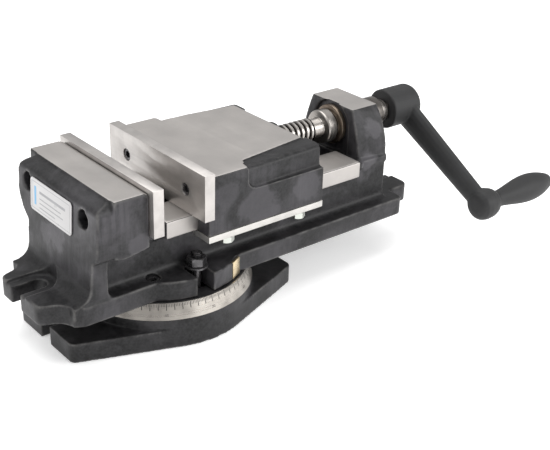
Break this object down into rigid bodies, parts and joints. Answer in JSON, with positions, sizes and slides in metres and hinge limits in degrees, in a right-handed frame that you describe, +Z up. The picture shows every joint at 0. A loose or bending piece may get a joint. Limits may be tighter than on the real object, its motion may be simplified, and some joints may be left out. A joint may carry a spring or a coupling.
{
  "type": "machine vise",
  "caption": "Machine vise on a graduated swivel base: the crank turns a lead screw that slides the movable jaw along the ways, and the body turns on the base.",
  "frame": {"origin": "on the swivel axis, at the underside of the swivel base", "axes": "+X along the bed towards the crank, +Z up, +Y to the side away from the index pointer"},
  "size_m": [0.4703, 0.1785, 0.1276],
  "materials": {
    "iron_paint": "satin dark grey enamel over a rough casting",
    "jaw_steel": "ground",
    "keeper_steel": "ground",
    "screw_steel": "turned, lightly oiled",
    "zinc_steel": "bright zinc plate",
    "dark_steel": "blackened and oiled",
    "crank_paint": "matt dark grey",
    "bronze": "machined",
    "label": "smooth off-white"
  },
  "bodies": {
    "base": {"swivel_base": "iron_paint", "pivot_pin": "dark_steel"},
    "body": {"vise_body": "iron_paint", "fixed_jaw_plate": "jaw_steel", "fixed_jaw_screw_near": "dark_steel", "fixed_jaw_screw_far": "dark_steel", "name_plate": "label", "index_pointer": "bronze", "flange_set_screw": "dark_steel", "screw_bush": "bronze", "clamp_bolt_near": "dark_steel", "clamp_bolt_far": "dark_steel", "clamp_washer_near": "dark_steel", "clamp_washer_far": "dark_steel", "clamp_nut_near": "dark_steel", "clamp_nut_far": "dark_steel"},
    "jaw": {"movable_jaw": "iron_paint", "movable_jaw_plate": "jaw_steel", "movable_jaw_screw_near": "dark_steel", "movable_jaw_screw_far": "dark_steel", "lead_nut": "bronze", "keeper_strip_near": "keeper_steel", "keeper_strip_far": "keeper_steel", "keeper_bolt_near_1": "zinc_steel", "keeper_bolt_near_2": "zinc_steel", "keeper_bolt_far_1": "zinc_steel", "keeper_bolt_far_2": "zinc_steel"},
    "screw": {"lead_screw": "screw_steel", "stop_ring": "screw_steel", "stop_ring_screw": "dark_steel", "crank_handle": "crank_paint", "crank_grip": "crank_paint"}
  },
  "joints": [
    {"name": "swivel", "type": "hinge", "parent": "base", "child": "body", "pos_m": [0, 0, 0.0352], "axis": [0, 0, 1], "continuous": true},
    {"name": "jaw_slide", "type": "slide", "parent": "body", "child": "jaw", "axis": [1, 0, 0], "range_m": [-0.0335, 0.045]},
    {"name": "screw_spin", "type": "hinge", "parent": "body", "child": "screw", "pos_m": [0.1, 0, 0.10825], "axis": [1, 0, 0], "range_deg": [-2412.5, 3240.5]}
  ],
  "couplings": [
    {"joint": "screw_spin", "follows": "jaw_slide", "rad_per_m": 1256.6}
  ]
}
